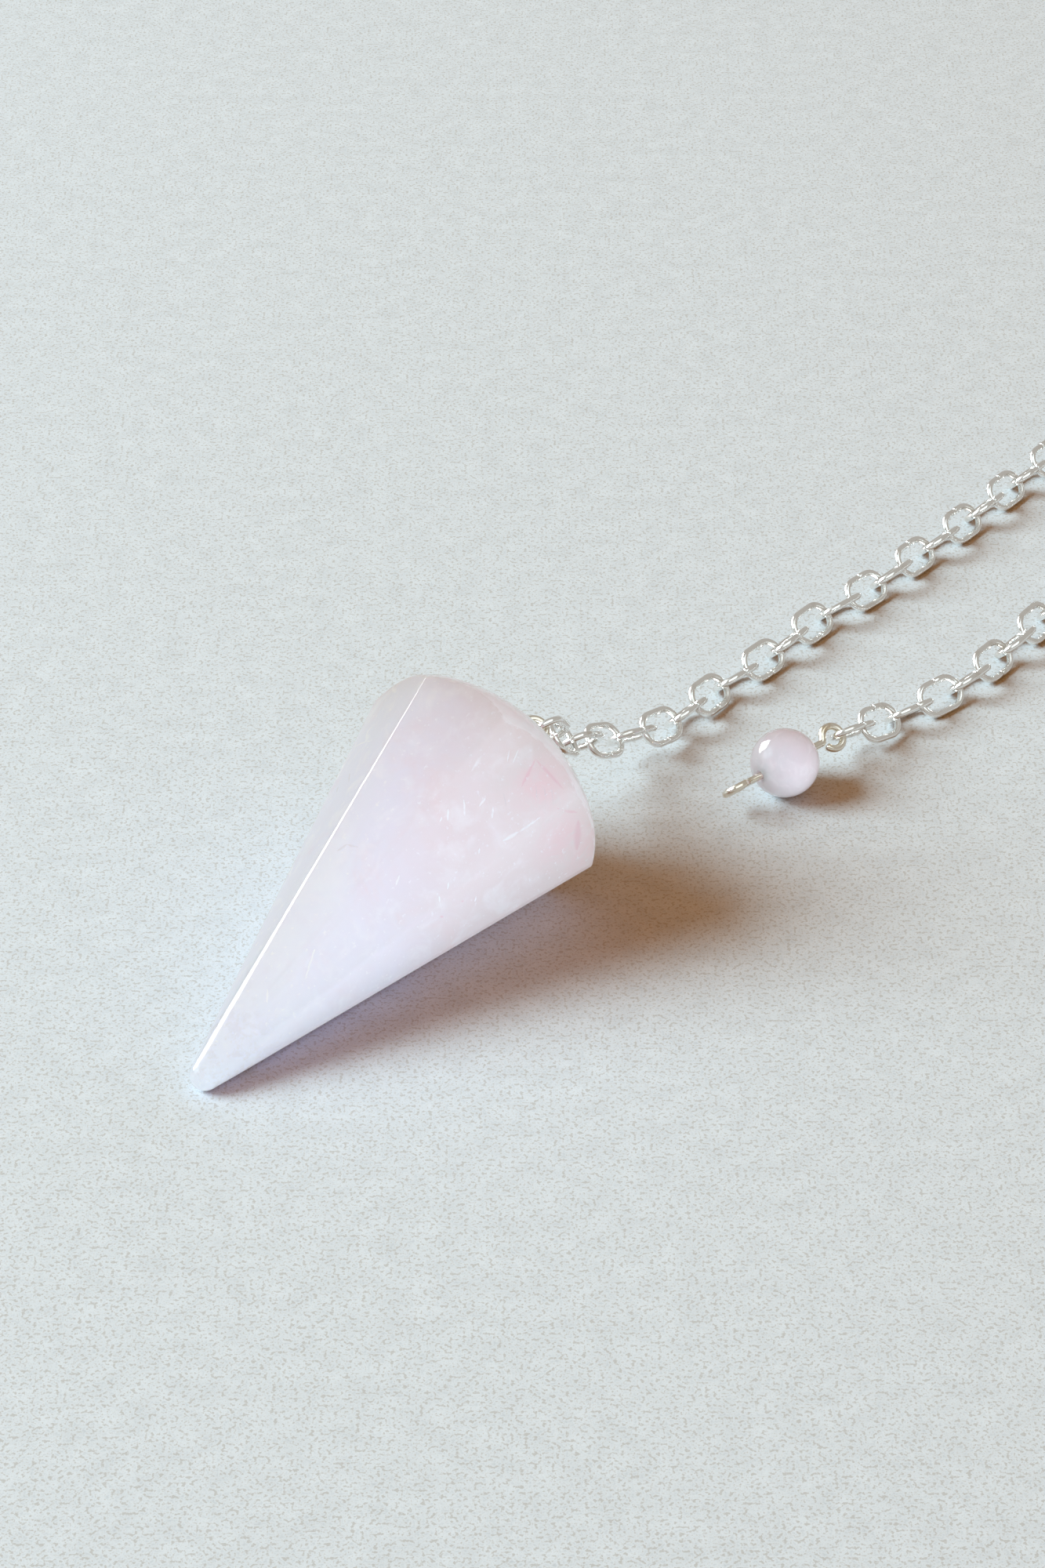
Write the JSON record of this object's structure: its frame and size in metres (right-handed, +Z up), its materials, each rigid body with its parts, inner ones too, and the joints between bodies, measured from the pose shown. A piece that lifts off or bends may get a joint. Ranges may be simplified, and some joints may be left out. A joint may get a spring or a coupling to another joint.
{
  "type": "pendulum pendant",
  "caption": "Faceted rose quartz point with a domed end, lying on one side, on a silver cable chain that ends in a small round bead on a looped pin",
  "frame": {"origin": "middle of the footprint on the surface that the pendant lies on", "axes": "+Z up, +Y away from the viewer along the longest extent, +X to the right; the stone points away from its tip between +X and +Y"},
  "size_m": [0.0975, 0.1054, 0.0211],
  "materials": {
    "rose_quartz": "polished translucent pale pink rose quartz with faint cracks and veils",
    "rose_quartz_bead": "polished translucent pale pink rose quartz",
    "silver_chain": "bright silver plated round wire links",
    "silver_wire": "bright silver plated round wire"
  },
  "bodies": {
    "root": {"stone": "rose_quartz", "stone_peg": "silver_wire", "chain": "silver_chain", "bead_pin": "silver_wire", "end_bead": "rose_quartz_bead"}
  },
  "joints": []
}
